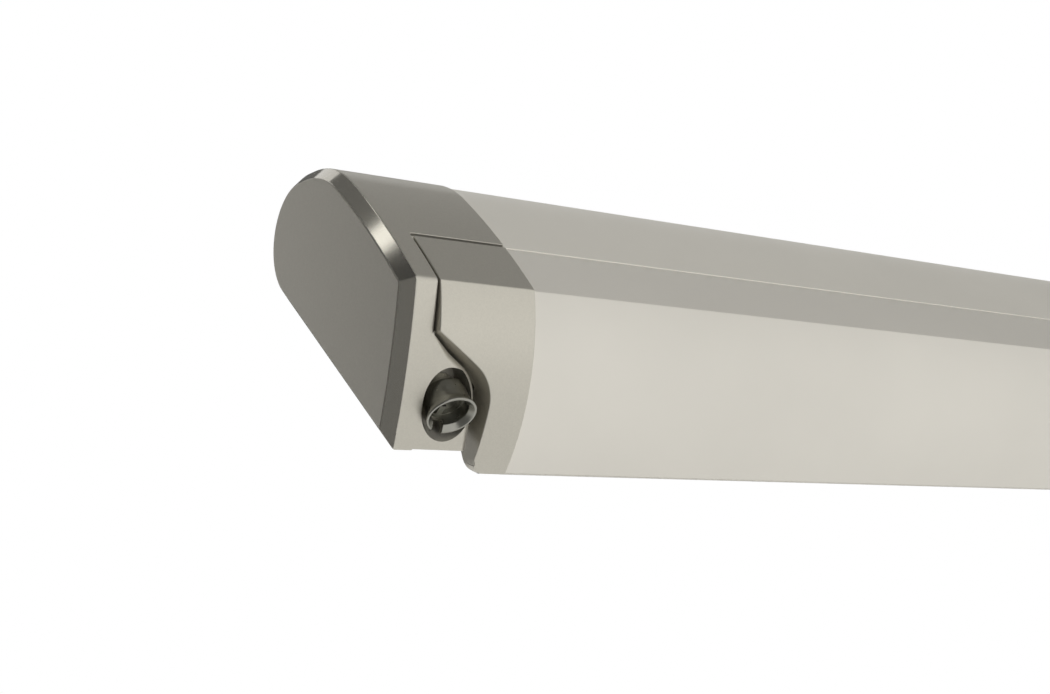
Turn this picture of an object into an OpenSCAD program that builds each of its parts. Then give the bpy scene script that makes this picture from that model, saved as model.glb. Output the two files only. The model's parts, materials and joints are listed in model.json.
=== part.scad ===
// Roll out awning: closed cassette with folding arms, roller, worm drive, lead rail and legs.
// x runs along the length, -y is the front where the lead rail runs out, +z is up.
// Sections are drawn as [y, z] with the front bottom edge of the end cap at [0, 0].

/* [Overall] */
// length over both end faces
total_l = 2600; // [2400:10:3200]
// height of the end cap
case_h = 150; // [146:1:160]

/* [Case section] */
// radius of the rounded back
back_r = 36; // [34:0.5:38]
// depth of the centre of the rounded back
back_y = 95; // [92:0.5:100]
// radius of the crown
top_r = 70; // [60:1:80]
// depth where the crown starts to fall
top_y = 88; // [84:0.5:91]
// fall of the crown before the long slope
slope_a = 36; // [34:0.5:38]
// depth of the nose, forward of the bottom edge
nose_y = -20.4; // [-23:0.1:-18]
// height of the nose
nose_z = 78; // [75:0.5:80]
// depth of the seam between case and lead rail
seam_y = 5.5; // [3:0.5:8]
// open width of the seam
seam_gap = 1.2; // [0.8:0.1:2]
// wall of the case
case_wall = 2.2; // [1.8:0.1:2.6]
// how far the caps stand proud of the profiles
proud = 1; // [0.5:0.1:1.5]
// where the floor of the case starts, up its slope
floor_v = 52; // [50:0.5:54]
// centre of the bracket slot, up the slope
slot_v = 99; // [96:0.5:101]
// mouth of the bracket slot
slot_mouth = 8.5; // [8:0.1:9]
// width of the bracket slot inside
slot_w = 15; // [14:0.5:16]
// depth of the bracket slot behind its lips
slot_d = 6; // [5.6:0.1:6.4]

/* [End caps] */
// length of a cap from its rim to the profile
cap_len = 65; // [63:1:72]
// bevel round the end face
bevel = 6; // [4:0.5:7]
// wall of a cap
cap_wall = 2.5; // [2:0.1:3]
// bulge radius of the cap front
front_r = 340; // [280:10:420]
// rim to the side edge of the lead rail cap opening
seam_x = 11.6; // [11:0.2:13]
// height of the knee in the opening
knee_z = 53.3; // [51:0.5:55]
// rim to the side edge below the knee
low_x = 39.8; // [39.6:0.2:41]
// corner radius below the knee
knee_r = 22; // [16:1:24]

/* [Lead rail] */
// bulge radius of the lead rail front
lead_r = 117; // [112:1:125]
// depth of the bottom edge of the lead rail
lead_y = 5.7; // [4:0.1:7]
// height of the bottom edge of the lead rail
lead_z = -9.6; // [-11:0.1:-8]
// wall of the lead rail
lead_wall = 2; // [1.6:0.1:2.4]
// underside of the leg web
web_z = 25; // [24.5:0.1:25.5]
// gap beside the upper opening edge
edge_gap = 0.7; // [0.6:0.1:1.2]
// gap beside the lower opening edge
low_gap = 4.4; // [4:0.2:6]
// corner radius at the foot of a lead rail cap
foot_r = 8; // [4:0.5:9]

/* [Crank] */
// rim to the crank axis
crank_x = 24.3; // [24:0.1:25]
// depth of the bell mouth
bell_y = -11.6; // [-12.4:0.1:-11]
// height of the bell mouth
bell_z = 15.8; // [15:0.1:17]
// lean of the crank axis from upright
crank_a = 37; // [36:0.5:38]
// outside radius of the bell mouth
bell_r = 12.4; // [12:0.1:12.5]
// bore of the bell mouth
bell_bore = 9; // [8.6:0.1:9.2]
// width of the hook notch in the bell
notch_w = 6.4; // [5:0.2:7]
// radius of the bell pocket
pocket_r = 13.5; // [13.3:0.1:13.7]
// extra height of the bell pocket
pocket_more = 2; // [1:0.5:3]

/* [Worm drive] */
// pitch radius of the worm
worm_r = 7; // [6.5:0.1:7.4]
// teeth of the worm wheel
wheel_teeth = 16; // [16:2:20]
// width of the worm wheel
wheel_w = 12; // [8:1:12]
// radius of the crank shaft
shaft_r = 4; // [3.5:0.1:4.2]

/* [Roller] */
// depth of the roller axis
roller_y = 84; // [83.5:0.1:85]
// height of the roller axis
roller_z = 108; // [107.5:0.1:109]
// radius of the roller tube
tube_r = 28; // [24:0.5:29]
// wall of the roller tube
tube_wall = 1.5; // [1:0.1:2]
// radius of the wound fabric
roll_r = 33; // [31:0.5:33.5]
// thickness of the fabric
cloth_t = 0.6; // [0.4:0.1:0.9]
// radius of the roller journals
journal_r = 7; // [6:0.5:8]

/* [Arms] */
// shoulder pivot from the end of the case profile
shoulder_in = 79; // [79:1:90]
// depth of the shoulder pivot
shoulder_y = 26; // [25.5:0.1:26.5]
// height of the shoulder pivot
shoulder_z = 49.5; // [49:0.1:50]
// fall of the arm plane
pitch = 6; // [5:0.5:6.5]
// folded elbow from the middle of the case
elbow_mid = 100; // [90:5:250]
// spacing of the folded arms
arm_gap = 22; // [21.5:0.1:22.5]
// width of the upper arm
upper_w = 20; // [18:0.5:20.5]
// height of the upper arm
upper_h = 28; // [26:0.5:29]
// width of the forearm
fore_w = 18; // [16:0.5:19]
// height of the forearm
fore_h = 26; // [24:0.5:27]
// wall of the arm tubes
arm_wall = 2; // [1.6:0.1:2.4]
// radius of the arm pins
pin_r = 5; // [4:0.5:5.5]
// radius of the knuckles
knuckle_r = 10.3; // [9.5:0.1:10.3]
// half height of the knuckles
knuckle_h = 11; // [10:0.1:11]
// running play of pins and journals
play = 0.05; // [0.03:0.01:0.08]

/* [Legs] */
// width of a leg
leg_w = 11.5; // [11:0.1:11.6]
// height of a leg section
leg_h = 19; // [17:0.5:19]
// front face of the first leg
leg_y = 12.5; // [12.4:0.1:12.8]
// middle height of the stowed legs
leg_z = 14.5; // [14.3:0.1:14.8]
// length of the outer leg tube
leg_l = 1180; // [1000:5:1180]
// wall of the leg tubes
leg_wall = 1.2; // [1:0.1:1.4]
// hinge of a leg from the end of the lead rail
leg_in = 30; // [26:1:40]
// radius of the leg pins
leg_pin_r = 3; // [2.5:0.1:3.4]
// length of a foot plate
foot_l = 40; // [30:1:50]

/* [Hidden] */
// ends of the profiles
rim_x = total_l / 2 - bevel;
case_x = rim_x - cap_len;

function ang(v) = atan2(v[1], v[0]) < 0 ? atan2(v[1], v[0]) + 360 : atan2(v[1], v[0]);
function dir(a) = [cos(a), sin(a)];
function arc(c, r, a0, a1, n) = [for (i = [0:n]) c + r * dir(a0 + (a1 - a0) * i / n)];
function tail(p) = [for (i = [1:len(p) - 1]) p[i]];
function head(p) = [for (i = [0:len(p) - 2]) p[i]];
function back(p) = [for (i = [len(p) - 1:-1:0]) p[i]];
function unit(v) = v / norm(v);
function bulge(p, q, r) =
  let (d = unit(q - p), h = norm(q - p) / 2)
  (p + q) / 2 + sqrt(r * r - h * h) * [-d[1], d[0]];
function meet(a, ra, b, rb, s) =
  let (d = norm(b - a), u = (b - a) / d, k = (d * d + ra * ra - rb * rb) / (2 * d))
  a + k * u + s * sqrt(ra * ra - k * k) * [-u[1], u[0]];

// centres of the section arcs
back_c = [back_y, case_h - back_r];
top_c = [top_y, case_h - top_r];
nose = [nose_y, nose_z];
fall = 90 + slope_a;
crown_end = top_c + top_r * dir(fall);
to_nose = nose - crown_end;
slope_r = -(to_nose * to_nose) / (2 * (to_nose * dir(fall)));
slope_c = crown_end - slope_r * dir(fall);
front_c = bulge(nose, [0, 0], front_r);
lead_end = [lead_y, lead_z];
lead_c = bulge(nose, lead_end, lead_r);
// slope of the underside, from the bottom edge to the rounded back
under_a = acos(back_r / norm(back_c)) - atan2(back_c[0], back_c[1]);
along = dir(under_a);
inward = [-along[1], along[0]];
seam_a = acos((seam_y - slope_c[0]) / slope_r);
lip_a = seam_a - atan(seam_gap / slope_r);

function cap_nose(e) = meet(slope_c, slope_r - e, front_c, front_r - e, 1);
function rail_nose(e) = meet(slope_c, slope_r - e, lead_c, lead_r - e, 1);
function cap_foot(e) =
  let (p = e * inward - front_c, b = p * along, c = p * p - pow(front_r - e, 2))
  e * inward + (-b - sqrt(b * b - c)) * along;
function cap_outline(e) = concat(
  [cap_foot(e)],
  arc(back_c, back_r - e, under_a - 90, 90, 24),
  arc(top_c, top_r - e, 90, fall, 10),
  tail(arc(slope_c, slope_r - e, fall, ang(cap_nose(e) - slope_c), 10)),
  head(tail(arc(front_c, front_r - e, ang(cap_nose(e) - front_c), ang(cap_foot(e) - front_c), 10)))
);
// case skin from the lip over the back to the front edge of the floor
function case_skin(e) = concat(
  arc(slope_c, slope_r - e, lip_a, fall, 10),
  tail(arc(top_c, top_r - e, fall, 90, 10)),
  arc(back_c, back_r - e, 90, under_a - 90, 24),
  [floor_v * along + e * inward]
);
// lead rail skin from the seam over the nose to the bottom edge
function rail_skin(e) = concat(
  arc(slope_c, slope_r - e, seam_a, ang(rail_nose(e) - slope_c), 8),
  tail(arc(lead_c, lead_r - e, ang(rail_nose(e) - lead_c), ang(lead_end - lead_c), 18))
);
function rail_y(z, e) = lead_c[0] - sqrt(pow(lead_r - e, 2) - pow(z - lead_c[1], 2));

// edge of the opening for the lead rail cap, seen from the front as [x, z]
knee_k = 0.67;
function edge(x1, z1, x2, r) =
  let (c = [x2 - r, z1 - knee_k * (x2 - r - x1) - r * sqrt(1 + knee_k * knee_k)])
  concat([[x1, z1]], arc(c, r, atan(1 / knee_k), 0, 8));
function opening(w, g, top, low) = concat(
  [[seam_x - w + edge_gap * g, top]],
  edge(seam_x - w + edge_gap * g, knee_z - w * 0.53 + 0.7 * g, low_x - w + low_gap * g, knee_r),
  g == 0 ? [] : arc([low_x + low_gap + foot_r, lead_z + foot_r - 0.05], foot_r + w, 180, 270, 6),
  [[low_x - w + low_gap * g + (foot_r + w) * g, low]]
);
seam_top = slope_c[1] + slope_r * sin(seam_a);

// crank axis and worm drive
crank_d = [sin(crank_a), cos(crank_a)];
to_roller = [roller_y, roller_z] - [bell_y, bell_z];
worm_at = to_roller * crank_d;
centre_d = to_roller[0] * crank_d[1] - to_roller[1] * crank_d[0];
wheel_r = centre_d - worm_r;
gear_m = 2 * wheel_r / wheel_teeth;
worm_lead = 2 * PI * gear_m;
wheel_tip = wheel_r + 0.9 * gear_m;
worm_tip = worm_r + 0.9 * gear_m;
worm_len = 22;
// half of the worm's room, past the run-out of its threads
worm_room = worm_len / 2 + gear_m * 0.42 + (worm_tip - shaft_r) * 0.3 + 0.6;
gear_x0 = crank_x - wheel_w / 2 - 7;
gear_x1 = crank_x + wheel_w / 2 + 7;

// arms, shoulder to elbow along the folded arm
shoulder_x = case_x - shoulder_in;
arm_l = shoulder_x - elbow_mid;
elbow_x = arm_l;
tube_in = 16;
elbow_in = 24;
ear_r = knuckle_r + 0.3;
ear_0 = knuckle_h + 0.3;
ear_1 = ear_0 + 5.7;
tongue_h = 8;
wrist_y = shoulder_y - arm_gap * cos(pitch);
wrist_z = shoulder_z - arm_gap * sin(pitch);
web_top = web_z + lead_wall;

// fabric groove in the lead rail
keder_y = -10;
keder_z = roller_z - roll_r + 1;
keder_r = 2.6;

// legs
leg_hinge = case_x - leg_in;
leg_back = leg_y + 2 * leg_w + 1;
leg_tube_in = 14;
foot_at = leg_tube_in + leg_l + 38;

case_c = [0.72, 0.71, 0.67];
cap_c = [0.5, 0.49, 0.45];
rail_c = [0.83, 0.81, 0.77];
dark_c = [0.2, 0.2, 0.2];
steel_c = [0.6, 0.6, 0.62];
cast_c = [0.55, 0.55, 0.56];
cloth_c = [0.78, 0.78, 0.76];

module along_x(x0, x1) {
  translate([x0, 0, 0])
    rotate([90, 0, 90])
      linear_extrude(height = x1 - x0)
        children();
}

module along_y(y0, y1) {
  translate([0, y1, 0])
    rotate([90, 0, 0])
      linear_extrude(height = y1 - y0)
        children();
}

// the bracket slot mouth is the origin of the part
module place() {
  c = slot_v * along + proud * inward;
  translate([0, -c[0], -c[1]])
    children();
}

module left_end() {
  translate([-rim_x, 0, 0])
    children();
}

module on_right() {
  mirror([1, 0, 0])
    children();
}

module both() {
  children();
  on_right()
    children();
}

// up the slope and off the floor, as a flat drawing
module floor_plan() {
  rotate(under_a)
    children();
}

module floor_frame() {
  rotate([under_a, 0, 0])
    children();
}

module crank_frame() {
  left_end()
    translate([crank_x, bell_y, bell_z])
      rotate([-crank_a, 0, 0])
        children();
}

module arm_frame() {
  translate([-shoulder_x, shoulder_y, shoulder_z])
    rotate([pitch, 0, 0])
      children();
}

module roller_rod(x0, x1, r) {
  translate([x0, roller_y, roller_z])
    rotate([0, 90, 0])
      cylinder(h = x1 - x0, r = r, $fn = 64);
}

module block(x0, x1, y0, y1, z0, z1) {
  translate([x0, y0, z0])
    cube([x1 - x0, y1 - y0, z1 - z0]);
}

// tube section with rounded corners, as [y, z]
function round_box(w, h, r) = concat(
  arc([w / 2 - r, h / 2 - r], r, 0, 90, 4),
  arc([r - w / 2, h / 2 - r], r, 90, 180, 4),
  arc([r - w / 2, r - h / 2], r, 180, 270, 4),
  arc([w / 2 - r, r - h / 2], r, 270, 360, 4)
);

module tube_section(w, h, t, r) {
  difference() {
    polygon(round_box(w, h, r));
    polygon(round_box(w - 2 * t, h - 2 * t, r - t * 0.6));
  }
}

// inside face of the floor, off its slope
floor_w = proud + case_wall;

// screw ports of the case, as [y, z]
port_e = proud + case_wall + 3.2;
ports = [
  back_c + (back_r - port_e) * dir(40),
  top_c + (top_r - port_e) * dir(fall - 4),
  back_c + (back_r - port_e) * dir(-15)
];

// hooked ribs on the floor, up its slope
hook_1 = slot_v - slot_w / 2 - 5.5;
hook_0 = hook_1 - 24;

module case_section() {
  difference() {
    union() {
      polygon(concat(back(case_skin(proud)), case_skin(proud + case_wall)));
      for (p = ports)
        translate(p)
          circle(r = 4.4, $fn = 12);
      floor_plan()
        translate([slot_v - slot_w / 2 - 2, proud])
          square([slot_w + 4, case_wall + slot_d + 2]);
      // hooked ribs that take the foot of a shoulder bracket
      floor_plan() {
        translate([hook_0, proud + case_wall - 0.5])
          square([2, 7.5]);
        translate([hook_0, proud + case_wall + 5])
          square([5, 2]);
        translate([hook_1, proud + case_wall - 0.5])
          square([2, 7.5]);
        translate([hook_1 - 3, proud + case_wall + 5])
          square([5, 2]);
      }
      // groove for the lip seal
      translate(slope_c + (slope_r - proud - case_wall) * dir(lip_a - 0.25))
        rotate(lip_a - 90) {
          translate([4, -5])
            square([1.6, 5.5]);
          translate([0.6, -5])
            square([5, 1.4]);
        }
    }
    for (p = ports)
      translate(p)
        circle(r = 2.2, $fn = 12);
    floor_plan() {
      translate([slot_v - slot_mouth / 2, -1])
        square([slot_mouth, proud + case_wall + 2]);
      translate([slot_v - slot_w / 2, proud + case_wall])
        square([slot_w, slot_d]);
    }
  }
}

module case_profile() {
  color(case_c)
    place()
      along_x(-case_x, case_x)
        case_section();
}

// space in front of the caps for the lead rail caps, from the side
function bay(e) = [
  [-60, seam_top + seam_gap + e], [9 + e, seam_top + seam_gap + e], [9 + e, 60 + e], [1 + e, 56 + e],
  [1 + e, 30 - e], [18 + e, 23], [18 + e, -60], [-60, -60]
];

module bay_space(e) {
  intersection() {
    along_x(0, cap_len + 2)
      polygon(bay(e));
    along_y(-70, 60)
      polygon(concat(opening(e, 0, case_h, -70), [[cap_len + 2, -70], [cap_len + 2, case_h]]));
  }
}

// depth of the bell pocket, past the neck of the bell
pocket_d = 22.5;

// pocket round the bell, drawn along the crank axis
module bell_space(e) {
  translate([crank_x, bell_y, bell_z])
    rotate([-crank_a, 0, 0]) {
      for (s = [-1, 1])
        translate([0, s * pocket_more / 2, -30])
          cylinder(h = 30 + pocket_d + e, r = pocket_r + e, $fn = 64);
      block(-pocket_r - e, pocket_r + e, -pocket_more / 2, pocket_more / 2, -30, pocket_d + e);
    }
}

// way of the crank shaft through the ceiling of the pocket
module shaft_space() {
  translate([crank_x, bell_y, bell_z])
    rotate([-crank_a, 0, 0])
      cylinder(h = 44, r = shaft_r + 0.6, $fn = 48);
}

// bevelled end face of a cap
module cap_face() {
  a = cap_outline(bevel);
  b = cap_outline(0);
  n = len(a);
  polyhedron(
    points = concat([for (p = a) [-bevel, p[0], p[1]]], [for (p = b) [0, p[0], p[1]]]),
    faces = concat(
      [[for (i = [0:n - 1]) i]],
      [[for (i = [n - 1:-1:0]) n + i]],
      [for (i = [0:n - 1]) [i, n + i, n + (i + 1) % n]],
      [for (i = [0:n - 1]) [i, n + (i + 1) % n, (i + 1) % n]]
    )
  );
}

module cap_shell(pocket) {
  difference() {
    union() {
      cap_face();
      along_x(0, cap_len)
        polygon(cap_outline(0));
    }
    difference() {
      along_x(0, cap_len + 1)
        polygon(cap_outline(cap_wall));
      bay_space(cap_wall);
      if (pocket)
        bell_space(2);
    }
    bay_space(0);
    if (pocket) {
      shaft_space();
      difference() {
        bell_space(0);
        bay_space(cap_wall);
      }
    }
    block(9.6, cap_len + 1, -30, 30, -5, 0.9);
  }
}

module left_end_cap() {
  color(cap_c)
    place()
      left_end()
        cap_shell(true);
}

module right_end_cap() {
  color(cap_c)
    place()
      on_right()
        left_end()
          cap_shell(false);
}

bracket_t = 5;
bracket_x = cap_len - bracket_t;

module end_plate() {
  difference() {
    intersection() {
      along_x(bracket_x, cap_len)
        polygon(cap_outline(cap_wall + 0.3));
      block(bracket_x - 1, cap_len + 1, 44, 200, 0, 200);
    }
    translate([rim_x, 0, 0])
      roller_rod(bracket_x - 1 - rim_x, cap_len + 1 - rim_x, journal_r + 4);
    for (p = ports)
      translate([bracket_x - 1, p[0], p[1]])
        rotate([0, 90, 0])
          cylinder(h = bracket_t + 2, r = 2.7, $fn = 32);
  }
}

// posts that carry the gearbox on the left bracket
posts = [
  [roller_y, roller_z] + 22 * dir(-75), [roller_y, roller_z] + 22 * dir(20),
  [roller_y, roller_z] + 22 * dir(200)
];

module left_end_bracket() {
  color(cast_c)
    place()
      left_end()
        difference() {
          union() {
            end_plate();
            for (p = posts)
              translate([gear_x1, p[0], p[1]])
                rotate([0, 90, 0])
                  cylinder(h = bracket_x - gear_x1 + 0.5, r = 4, $fn = 32);
          }
          for (p = posts)
            translate([gear_x1 - 1, p[0], p[1]])
              rotate([0, 90, 0])
                cylinder(h = 13, r = 1.7, $fn = 32);
        }
}

module right_end_bracket() {
  color(cast_c)
    place()
      on_right()
        left_end()
          end_plate();
}

module end_bracket_screws() {
  color(steel_c)
    place()
      both()
        left_end()
          for (p = ports)
            translate([bracket_x, p[0], p[1]])
              rotate([0, 90, 0]) {
                translate([0, 0, -2.5])
                  cylinder(h = 2.5, r = 3.6, $fn = 32);
                cylinder(h = 22, r = 2.05, $fn = 32);
              }
}

module roller_bushes() {
  color(dark_c)
    place()
      both()
        difference() {
          roller_rod(-rim_x + bracket_x - 1, -rim_x + cap_len + 3, journal_r + 3.95);
          roller_rod(-rim_x + bracket_x - 2, -rim_x + cap_len + 4, journal_r + play);
        }
}

// outside and hollows of the gearbox
module gear_case() {
  along_x(gear_x0, gear_x1) {
    translate([roller_y, roller_z])
      circle(r = 27, $fn = 64);
    translate([bell_y, bell_z])
      rotate(-crank_a)
        translate([-11, worm_at - 18])
          square([29, 34]);
  }
}

module gear_space() {
  translate([rim_x, 0, 0]) {
    roller_rod(crank_x - wheel_w / 2 - 0.6 - rim_x, crank_x + wheel_w / 2 + 0.6 - rim_x, wheel_tip + 0.6);
    roller_rod(crank_x - wheel_w / 2 - 5 - rim_x, gear_x1 + 1 - rim_x, journal_r + play);
    for (p = posts)
      translate([gear_x0 - 1 - rim_x, p[0], p[1]])
        rotate([0, 90, 0])
          cylinder(h = gear_x1 - gear_x0 + 2, r = 2.3, $fn = 32);
  }
  translate([crank_x, bell_y, bell_z])
    rotate([-crank_a, 0, 0]) {
      translate([0, 0, worm_at - worm_room])
        cylinder(h = 2 * worm_room, r = worm_tip + 0.6, $fn = 48);
      translate([0, 0, worm_at - 30])
        cylinder(h = 44.5, r = shaft_r + play, $fn = 48);
    }
}

module gearbox_base() {
  color(dark_c)
    place()
      left_end()
        difference() {
          gear_case();
          gear_space();
          block(-20, crank_x, -50, 200, -50, 200);
        }
}

module gearbox_lid() {
  color(dark_c)
    place()
      left_end()
        difference() {
          gear_case();
          gear_space();
          block(crank_x, 100, -50, 200, -50, 200);
        }
}

module gearbox_screws() {
  color(steel_c)
    place()
      left_end()
        for (p = posts)
          translate([gear_x0, p[0], p[1]])
            rotate([0, 90, 0]) {
              translate([0, 0, -2])
                cylinder(h = 2, r = 3.6, $fn = 32);
              cylinder(h = gear_x1 - gear_x0 + 10, r = 1.65, $fn = 32);
            }
}

module shoulder_bracket() {
  difference() {
    union() {
      floor_frame() {
        block(-shoulder_x - 40, -shoulder_x + 40, hook_0 + 2.2, hook_1 - 0.2, floor_w, floor_w + 4.8);
        block(-shoulder_x - 14, -shoulder_x + 14, hook_0 + 5.3, hook_1 - 3.3, floor_w, floor_w + 16);
      }
      arm_frame() {
        for (s = [ear_0, -ear_1])
          translate([0, 0, s])
            linear_extrude(height = ear_1 - ear_0) {
              circle(r = ear_r, $fn = 64);
              translate([-ear_r, 0])
                square([2 * ear_r, 30]);
            }
        block(-ear_r, ear_r, knuckle_r + 1.6, 30, -ear_1, ear_1);
      }
    }
    arm_frame()
      translate([0, 0, -40])
        cylinder(h = 80, r = pin_r, $fn = 64);
    floor_frame() {
      block(-shoulder_x - 60, -shoulder_x + 60, 0, 200, -60, floor_w);
      block(-shoulder_x - 60, -shoulder_x + 60, hook_0 - 0.3, hook_0 + 5.3, floor_w + 4.8, floor_w + 7.3);
      block(-shoulder_x - 60, -shoulder_x + 60, hook_0 - 0.3, hook_0 + 2.2, -10, floor_w + 7.3);
      for (s = [-30, 30])
        translate([-shoulder_x + s, hook_0 + 13, 0])
          cylinder(h = 20, r = 2.5, $fn = 32);
    }
  }
}

module left_shoulder_bracket() {
  color(cast_c)
    place()
      shoulder_bracket();
}

module right_shoulder_bracket() {
  color(cast_c)
    place()
      on_right()
        shoulder_bracket();
}

module pin_with_head(h, r) {
  translate([0, 0, -h])
    cylinder(h = 2 * h, r = r, $fn = 64);
  translate([0, 0, h])
    cylinder(h = 1.5, r = r + 2, $fn = 64);
  translate([0, 0, -h - 1.5])
    cylinder(h = 1.5, r = r + 2, $fn = 64);
}

module shoulder_pins() {
  color(steel_c)
    place()
      both()
        arm_frame()
          pin_with_head(ear_1, pin_r - 0.01);
}

module bracket_set_screws() {
  color(steel_c)
    place()
      both()
        floor_frame()
          for (s = [-30, 30])
            translate([-shoulder_x + s, hook_0 + 13, floor_w])
              cylinder(h = 7, r = 2.45, $fn = 32);
}

module case_seal() {
  color(dark_c)
    place()
      along_x(-case_x, case_x)
        translate(slope_c + (slope_r - proud - case_wall) * dir(lip_a - 0.25))
          rotate(lip_a - 90) {
            translate([0.9, -3.4])
              square([2.9, 3.1]);
            translate([-1.4, -2.6])
              square([2.4, 1.4]);
          }
}

module crank_bell() {
  color(steel_c)
    place()
      crank_frame() {
        difference() {
          rotate_extrude($fn = 64)
            polygon(concat(
              [[0, 22], [0, 11.9], [bell_bore - 0.4, 11.4], [bell_bore - 0.4, 9], [bell_bore, 9], [bell_bore, 2.8]],
              arc([bell_r - 0.7, 0.7], 0.7, 225, 360, 6),
              [[bell_r - 0.3, 2], [bell_r - 1.1, 4.4], [bell_r - 1.5, 8], [bell_r - 1.6, 14]],
              arc([bell_r - 3.6, 14], 2, 0, 80, 5),
              [[6.8, 16.6], [6.2, 22]]
            ));
          cylinder(h = 40, r = shaft_r - 0.5, $fn = 48);
          // notch that the hook of the crank drops into
          rotate(107)
            block(5, bell_r + 2, -notch_w / 2, notch_w / 2, -2, 7);
        }
        difference() {
          block(-1.5, 1.5, -bell_bore - 0.5, bell_bore + 0.5, 9, 12.2);
          cylinder(h = 40, r = 3.2, $fn = 32);
        }
      }
}

// one thread of the worm, swept up the shaft
module worm_thread(start) {
  n = 48;
  root = shaft_r - 0.4;
  half_tip = gear_m * 0.42;
  half_root = half_tip + (worm_tip - root) * 0.3;
  turns = worm_len / worm_lead;
  ring = [[root, -half_root], [worm_tip, -half_tip], [worm_tip, half_tip], [root, half_root]];
  polyhedron(
    points = [for (i = [0:n], p = ring)
      let (t = i / n - 0.5, a = 90 + start + 360 * turns * t)
      [p[0] * cos(a), p[0] * sin(a), worm_len * t + p[1]]],
    faces = concat(
      [[3, 2, 1, 0]],
      [[4 * n, 4 * n + 1, 4 * n + 2, 4 * n + 3]],
      [for (i = [0:n - 1], k = [0:3])
        [4 * i + k, 4 * i + 4 + (k + 1) % 4, 4 * i + 4 + k]],
      [for (i = [0:n - 1], k = [0:3])
        [4 * i + k, 4 * i + (k + 1) % 4, 4 * i + 4 + (k + 1) % 4]]
    )
  );
}

module worm_shaft() {
  color(steel_c)
    place()
      crank_frame() {
        translate([0, 0, 22])
          cylinder(h = worm_at - 8, r = shaft_r, $fn = 48);
        translate([0, 0, 13.5])
          cylinder(h = 9, r = shaft_r - 0.55, $fn = 48);
        translate([0, 0, worm_at])
          for (s = [0, 180])
            worm_thread(s);
      }
}

// flat outline of the worm wheel, with a gap facing the worm
module wheel_flat() {
  face = ang(-[crank_d[1], -crank_d[0]]);
  step = 360 / wheel_teeth;
  root = wheel_r - 1.15 * gear_m;
  polygon([for (i = [0:wheel_teeth - 1], k = [[0.2, root], [0.36, wheel_tip], [0.64, wheel_tip], [0.8, root]])
    k[1] * dir(face + (i + k[0]) * step)]);
}

module worm_wheel() {
  turn = wheel_w * gear_m / worm_r / wheel_r * 180 / PI;
  color([0.75, 0.62, 0.3])
    place()
      left_end()
        difference() {
          translate([crank_x - wheel_w / 2, roller_y, roller_z])
            rotate([90, 0, 90])
              rotate(-turn / 2)
                linear_extrude(height = wheel_w, twist = -turn, slices = 8)
                  wheel_flat();
          translate([rim_x, 0, 0])
            roller_rod(crank_x - wheel_w - rim_x, crank_x + wheel_w - rim_x, journal_r + 0.02);
        }
}

roller_x = case_x - 20;

module roller_tube() {
  color(steel_c)
    place()
      difference() {
        roller_rod(-roller_x, roller_x, tube_r);
        roller_rod(-roller_x - 1, roller_x + 1, tube_r - tube_wall);
      }
}

module roller_drive_plug() {
  color(dark_c)
    place() {
      roller_rod(-roller_x, -roller_x + 45, tube_r - tube_wall - 0.05);
      roller_rod(-roller_x - 4, -roller_x, tube_r - 0.5);
      roller_rod(-rim_x + crank_x - wheel_w / 2 - 4.5, -roller_x, journal_r);
    }
}

module roller_idler_plug() {
  color(dark_c)
    place() {
      roller_rod(roller_x - 45, roller_x, tube_r - tube_wall - 0.05);
      roller_rod(roller_x, roller_x + 4, tube_r - 0.5);
      roller_rod(roller_x, case_x + bracket_t + 4, journal_r);
    }
}

module fabric_roll() {
  color(cloth_c)
    place()
      difference() {
        roller_rod(-roller_x + 10, roller_x - 10, roll_r);
        roller_rod(-roller_x, roller_x, tube_r + 0.02);
      }
}

// free stretch of the fabric, from the roll to its rod in the lead rail
module fabric_sheet() {
  z0 = roller_z - roll_r - cloth_t - 0.05;
  color(cloth_c)
    place()
      along_x(-roller_x + 10, roller_x - 10)
        polygon([
          [roller_y, z0], [roller_y, z0 + cloth_t], [keder_y + keder_r + 0.1, keder_z + cloth_t / 2],
          [keder_y + keder_r + 0.1, keder_z - cloth_t / 2]
        ]);
}

module upper_arm() {
  arm_frame()
    along_x(tube_in, elbow_x - elbow_in)
      tube_section(upper_w, upper_h, arm_wall, 4);
}

module end_knuckle(w, h) {
  difference() {
    union() {
      translate([0, 0, -knuckle_h])
        cylinder(h = 2 * knuckle_h, r = knuckle_r, $fn = 64);
      block(0, tube_in, -w / 2 + 1, w / 2 - 1, -knuckle_h, knuckle_h);
      block(tube_in, tube_in + 32, -w / 2 + arm_wall + 0.2, w / 2 - arm_wall - 0.2,
        -h / 2 + arm_wall + 2, h / 2 - arm_wall - 2);
    }
    translate([0, 0, -40])
      cylinder(h = 80, r = pin_r + play, $fn = 64);
  }
}

module shoulder_knuckle() {
  arm_frame()
    end_knuckle(upper_w, upper_h);
}

module elbow_fork() {
  w = upper_w / 2;
  h = upper_h / 2;
  arm_frame()
    translate([elbow_x, 0, 0])
      difference() {
        union() {
          for (s = [tongue_h + 0.3, -h])
            translate([0, 0, s])
              linear_extrude(height = h - tongue_h - 0.3) {
                translate([0, -arm_gap / 2])
                  circle(r = ear_r, $fn = 64);
                polygon([[-elbow_in, w], [-elbow_in, -w + 1], [-9, -arm_gap / 2 - 7.9], [2, 0.8], [-10, w]]);
              }
          block(-elbow_in, -14, 0, w, -h, h);
          block(-elbow_in - 32, -elbow_in, -w + arm_wall + 0.2, w - arm_wall - 0.2,
            -h + arm_wall + 2, h - arm_wall - 2);
        }
        translate([0, -arm_gap / 2, -40])
          cylinder(h = 80, r = pin_r, $fn = 64);
      }
}

module elbow_pin() {
  arm_frame()
    translate([elbow_x, -arm_gap / 2, 0])
      pin_with_head(upper_h / 2, pin_r - 0.01);
}

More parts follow.
